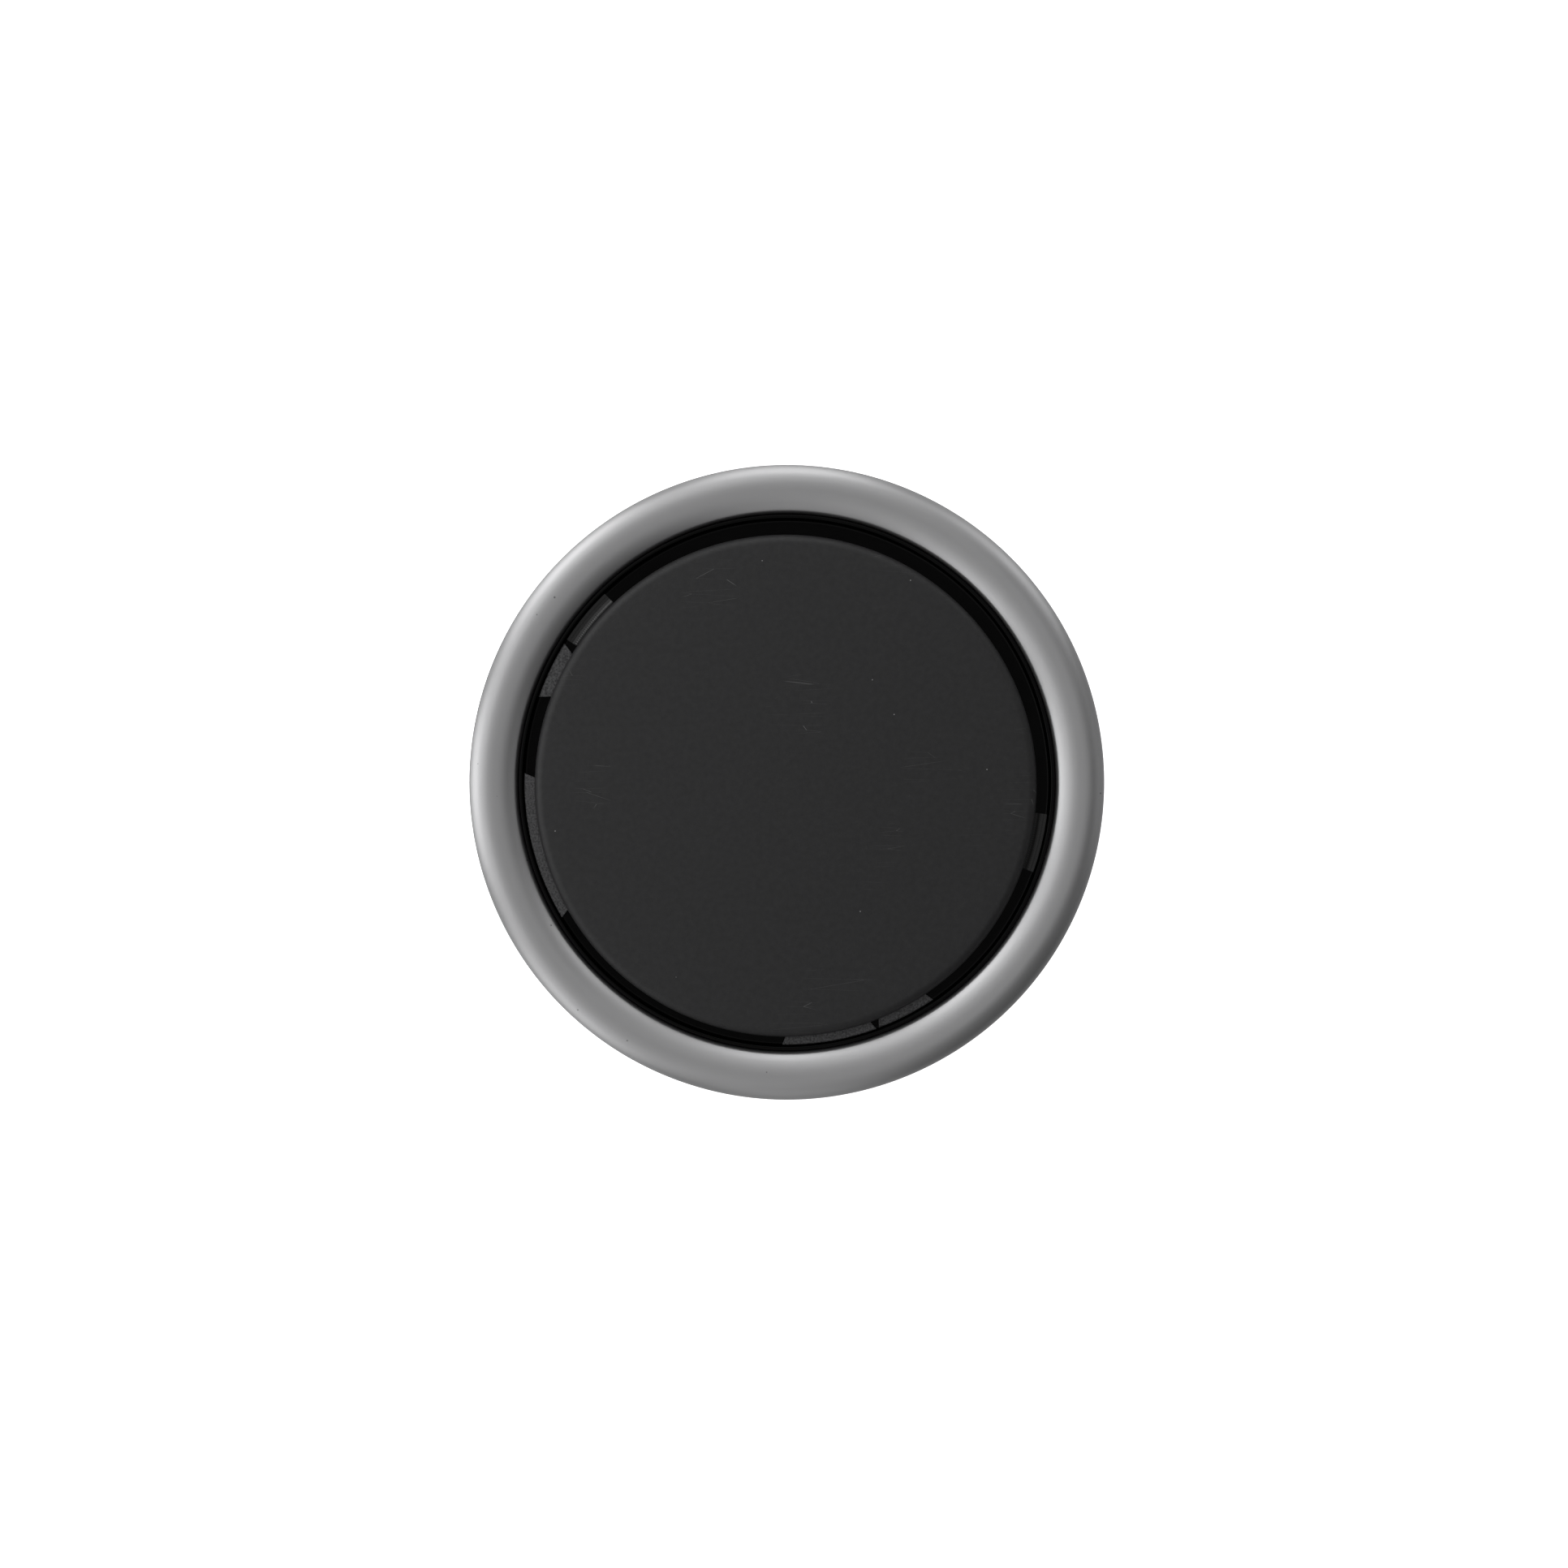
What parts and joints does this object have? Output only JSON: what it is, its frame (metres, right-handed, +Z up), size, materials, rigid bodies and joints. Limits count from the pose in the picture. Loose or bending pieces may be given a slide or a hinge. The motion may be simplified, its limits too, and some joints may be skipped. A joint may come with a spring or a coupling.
{
  "type": "kitchen garbage disposal",
  "caption": "Batch-feed kitchen garbage disposal: satin steel sink flange, matt black turn-to-start cover, hopper, grinding chamber and motor in a stainless trim shell.",
  "frame": {"origin": "on the throat's axis at the underside of the sink flange's seal, where it rests on the sink", "axes": "+Z up along the throat, +X towards the discharge outlet"},
  "size_m": [0.16, 0.158, 0.3171],
  "materials": {
    "satin_steel": "bead-blasted satin",
    "seal_rubber": "matt moulded",
    "liner_plastic": "glossy moulded",
    "grained_pad": "coarse spark grain",
    "cover_plastic": "fine matt",
    "gasket_fibre": "pressed fibre",
    "zinc_plate": "bright zinc plate",
    "spring_steel": "oiled spring steel",
    "grey_nylon": "moulded nylon",
    "pod_plastic": "fine spark grain",
    "hopper_plastic": "glass-filled moulding",
    "cast_aluminium": "as cast",
    "stainless": "rolled stainless",
    "bronze": "sintered bronze",
    "lamination_steel": "stacked sheet",
    "enamelled_copper": "enamelled wire",
    "motor_steel": "painted steel",
    "jacket_foam": "pressed felt",
    "trim_steel": "brushed stainless",
    "button_red": "glossy moulded",
    "capacitor_can": "moulded case",
    "ground_green": "green passivated"
  },
  "bodies": {
    "body": {"sink_flange": "satin_steel", "sink_seal": "seal_rubber", "throat_liner": "liner_plastic", "seat_pads": "grained_pad", "cam_ramps": "liner_plastic", "fibre_gasket": "gasket_fibre", "backup_flange": "zinc_plate", "upper_mount_ring": "zinc_plate", "snap_ring": "spring_steel", "mount_screws": "zinc_plate", "mount_cushion": "seal_rubber", "trip_ring_clip": "spring_steel", "switch_pod": "pod_plastic", "pod_cover": "pod_plastic", "pod_screws": "zinc_plate", "microswitch": "grey_nylon", "hopper": "hopper_plastic", "inlet_plug": "grey_nylon", "hopper_gasket": "seal_rubber", "hopper_screws": "zinc_plate", "grind_housing": "cast_aluminium", "shredder_ring": "stainless", "shaft_seal": "seal_rubber", "upper_end_bell": "cast_aluminium", "upper_bush": "bronze", "stator_core": "lamination_steel", "stator_windings": "enamelled_copper", "motor_shell": "motor_steel", "lower_end_bell": "cast_aluminium", "lower_bush": "bronze", "through_bolts": "zinc_plate", "sound_jacket": "jacket_foam", "trim_shell": "trim_steel", "bottom_cover": "pod_plastic", "base_screws": "zinc_plate", "overload_protector": "pod_plastic", "start_capacitor": "capacitor_can", "start_relay": "grey_nylon", "terminal_block": "grey_nylon", "terminal_plate": "zinc_plate", "terminal_plate_screw": "zinc_plate", "ground_screw": "ground_green"},
    "trip_ring": {"trip_ring": "grey_nylon"},
    "cover": {"cover_disc": "cover_plastic", "cover_skirt": "cover_plastic", "cover_seal": "seal_rubber", "cover_screws": "zinc_plate"},
    "switch_plunger": {"switch_plunger": "grey_nylon"},
    "lower_mount_ring": {"lower_mount_ring": "zinc_plate"},
    "rotor": {"turntable": "stainless", "turntable_nut": "zinc_plate", "impeller_rivets": "stainless", "rotor_shaft": "stainless", "water_slinger": "seal_rubber", "rotor_core": "lamination_steel", "rotor_end_rings": "cast_aluminium", "thrust_washers": "bronze"},
    "impeller_a": {"impeller_a": "stainless"},
    "impeller_b": {"impeller_b": "stainless"},
    "reset_button": {"reset_button": "button_red"}
  },
  "joints": [
    {"name": "cover_turn", "type": "hinge", "parent": "body", "child": "trip_ring", "pos_m": [-0.0002, -0.0006, -0.068], "axis": [0, 0, 1], "range_deg": [0, 45]},
    {"name": "cover_lift", "type": "slide", "parent": "trip_ring", "child": "cover", "axis": [0, 0, 1], "range_m": [0, 0.09]},
    {"name": "plunger_slide", "type": "slide", "parent": "body", "child": "switch_plunger", "axis": [-0.342, -0.9397, 0], "range_m": [0, 0.0026]},
    {"name": "mount_lock", "type": "hinge", "parent": "body", "child": "lower_mount_ring", "pos_m": [0, 0, -0.04], "axis": [0, 0, 1], "range_deg": [-35, 0]},
    {"name": "rotor_spin", "type": "hinge", "parent": "body", "child": "rotor", "pos_m": [0, 0, -0.2], "axis": [0, 0, 1], "continuous": true},
    {"name": "impeller_a_swing", "type": "hinge", "parent": "rotor", "child": "impeller_a", "pos_m": [0.0375, 0, -0.143], "axis": [0, 0, 1], "continuous": true},
    {"name": "impeller_b_swing", "type": "hinge", "parent": "rotor", "child": "impeller_b", "pos_m": [-0.0375, 0, -0.143], "axis": [0, 0, 1], "continuous": true},
    {"name": "reset_pop", "type": "slide", "parent": "body", "child": "reset_button", "axis": [0, 0, -1], "range_m": [0, 0.003]}
  ],
  "couplings": [
    {"joint": "plunger_slide", "follows": "cover_turn", "m_per_rad": 0.0031831}
  ]
}
